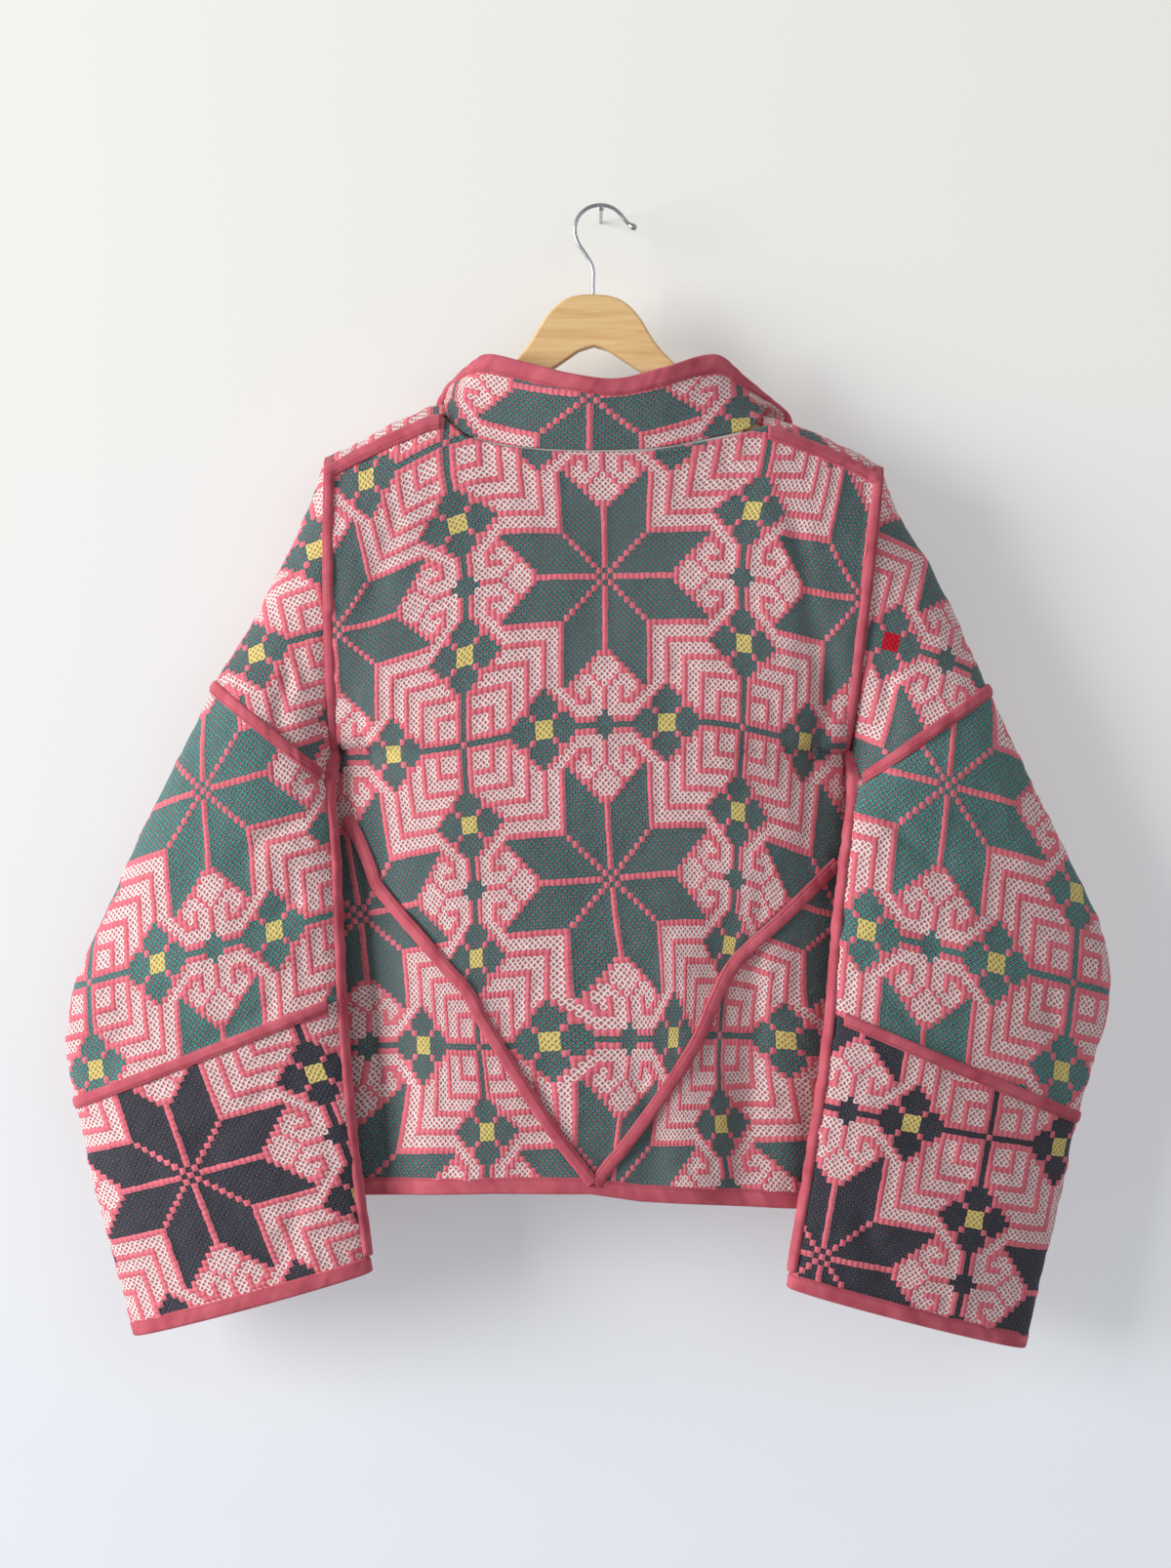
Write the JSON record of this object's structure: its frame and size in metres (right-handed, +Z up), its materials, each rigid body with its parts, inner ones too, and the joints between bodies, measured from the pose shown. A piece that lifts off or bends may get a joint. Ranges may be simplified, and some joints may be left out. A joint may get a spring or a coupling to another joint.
{
  "type": "kantha bomber jacket on hanger",
  "caption": "Short quilted bomber jacket with a stand collar, hung by a wooden hanger with a wire hook, bound edges and seams.",
  "frame": {"origin": "inside top of the hanger's wire hook, where the hook hangs over the nail", "axes": "+Z up, +Y towards the wall and the jacket's chest side, +X towards the right sleeve as seen from the jacket's back"},
  "size_m": [0.8518, 0.1229, 0.9327],
  "materials": {
    "quilted_cloth": "matte quilted cotton",
    "binding_tape": "matte cotton tape",
    "hanger_wood": "satin lacquer",
    "hook_steel": "polished"
  },
  "bodies": {
    "root": {"back_panel": "quilted_cloth", "collar": "quilted_cloth", "front_left": "quilted_cloth", "front_right": "quilted_cloth", "sleeve_upper_left": "quilted_cloth", "sleeve_upper_right": "quilted_cloth", "sleeve_mid_left": "quilted_cloth", "sleeve_mid_right": "quilted_cloth", "sleeve_cuff_left": "quilted_cloth", "sleeve_cuff_right": "quilted_cloth", "tape_hem_back": "binding_tape", "tape_collar": "binding_tape", "tape_hem_left": "binding_tape", "tape_hem_right": "binding_tape", "tape_edge_left": "binding_tape", "tape_edge_right": "binding_tape", "tape_shoulder_left": "binding_tape", "tape_shoulder_right": "binding_tape", "tape_armhole_left": "binding_tape", "tape_armhole_right": "binding_tape", "tape_under_sleeve_left": "binding_tape", "tape_under_sleeve_right": "binding_tape", "tape_upper_ring_left": "binding_tape", "tape_upper_ring_right": "binding_tape", "tape_lower_ring_left": "binding_tape", "tape_lower_ring_right": "binding_tape", "tape_cuff_left": "binding_tape", "tape_cuff_right": "binding_tape", "tape_slant_left": "binding_tape", "tape_slant_right": "binding_tape", "hanger_body": "hanger_wood", "hanger_hook": "hook_steel", "wall_nail": "hook_steel"}
  },
  "joints": []
}
